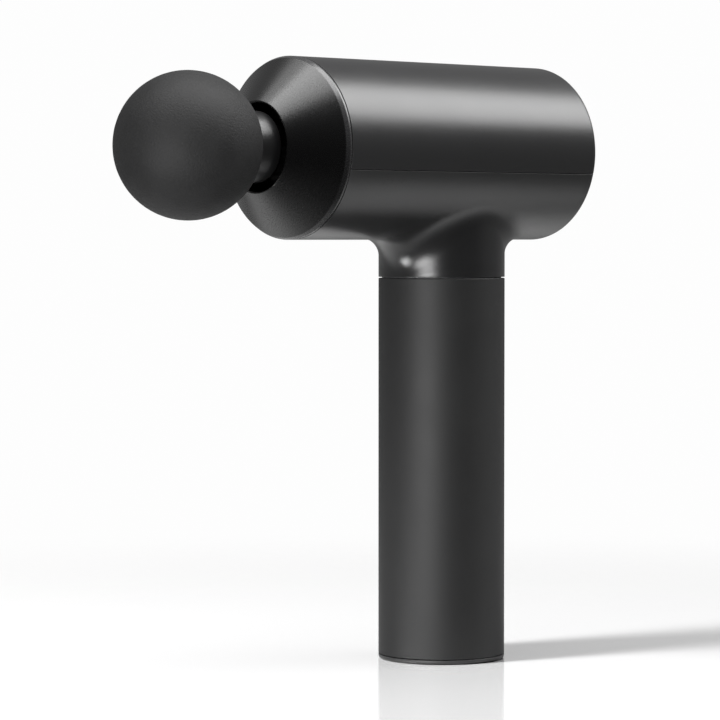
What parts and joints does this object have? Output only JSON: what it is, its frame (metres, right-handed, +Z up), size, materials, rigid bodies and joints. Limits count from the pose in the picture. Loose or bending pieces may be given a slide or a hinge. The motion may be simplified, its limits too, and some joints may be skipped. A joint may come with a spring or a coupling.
{
  "type": "massage gun",
  "caption": "Cordless percussion massage gun: straight round soft grip, level cylindrical barrel with a conical nose and a black foam ball head on a reciprocating plunger.",
  "frame": {"origin": "centre of the flat foot that the grip stands on", "axes": "+Z up along the grip's axis, the massage head faces -Y along the level barrel, +X to the device's left side seen from behind the barrel looking along -Y"},
  "size_m": [0.0626, 0.1921, 0.2121],
  "materials": {
    "rubber": "matte",
    "soft_plastic": "matte",
    "screws": "satin",
    "grip_sleeve": "matte",
    "frame_plastic": "matte",
    "board": "satin",
    "socket": "satin",
    "cells": "satin",
    "capacitor": "satin",
    "black_plastic": "satin",
    "lead": "satin",
    "motor_steel": "satin",
    "magnets": "satin",
    "bearing": "polished",
    "end_bell": "satin",
    "chassis": "matte",
    "bushes": "satin",
    "shells": "satin",
    "nose": "satin",
    "rear_cap": "satin",
    "light_ring": "satin",
    "shaft": "polished",
    "windings": "satin",
    "crank": "satin",
    "yoke": "satin",
    "plunger": "satin",
    "head_stem": "satin",
    "massage_ball": "matte",
    "power_button": "satin"
  },
  "bodies": {
    "body": {"foot_pad": "rubber", "base_cap": "soft_plastic", "base_screw_1": "screws", "base_screw_2": "screws", "grip_sleeve": "grip_sleeve", "handle_core": "frame_plastic", "charge_board": "board", "charge_socket": "socket", "cell_holder_lower": "frame_plastic", "cell_1": "cells", "cell_2": "cells", "cell_3": "cells", "cell_holder_upper": "frame_plastic", "driver_board": "board", "driver_capacitor": "capacitor", "driver_chip": "black_plastic", "motor_lead_1": "lead", "motor_lead_2": "lead", "control_lead": "black_plastic", "motor_can": "motor_steel", "motor_magnets": "magnets", "motor_bearing_lower": "bearing", "motor_bearing_upper": "bearing", "motor_end_bell": "end_bell", "motor_screw_1": "screws", "motor_screw_2": "screws", "motor_screw_3": "screws", "chassis": "chassis", "neck_screw_1": "screws", "neck_screw_2": "screws", "neck_screw_3": "screws", "guide_bush_rear": "bushes", "guide_bush_front": "bushes", "dust_seal": "rubber", "upper_shell": "shells", "lower_shell": "shells", "nose_cone": "nose", "rear_cap": "rear_cap", "light_ring": "light_ring", "control_board": "board", "button_switch": "black_plastic", "board_screw_1": "screws", "board_screw_2": "screws", "board_screw_3": "screws"},
    "crank": {"motor_shaft": "shaft", "motor_armature": "motor_steel", "winding_lower": "windings", "winding_upper": "windings", "crank_wheel": "crank", "crank_pin": "shaft", "crank_bearing": "bearing", "crank_clip": "shaft"},
    "plunger": {"yoke": "yoke", "plunger": "plunger"},
    "head": {"head_stem": "head_stem", "head_ring_rear": "rubber", "head_ring_front": "rubber", "massage_ball": "massage_ball"},
    "button": {"power_button": "power_button"}
  },
  "joints": [
    {"name": "crank_turn", "type": "hinge", "parent": "body", "child": "crank", "pos_m": [0, 0, 0.1625], "axis": [0, 0, 1], "range_deg": [-90, 90]},
    {"name": "plunger_slide", "type": "slide", "parent": "body", "child": "plunger", "axis": [0, 1, 0], "range_m": [-0.005, 0.005]},
    {"name": "head_release", "type": "slide", "parent": "plunger", "child": "head", "axis": [0, -1, 0], "range_m": [0, 0.032]},
    {"name": "button_press", "type": "slide", "parent": "body", "child": "button", "axis": [0, -1, 0], "range_m": [0, 0.0006], "stiffness_N_per_m": 900, "springref_m": -0.0006}
  ],
  "couplings": [
    {"joint": "crank_turn", "follows": "plunger_slide", "rad_per_m": 314.16}
  ]
}
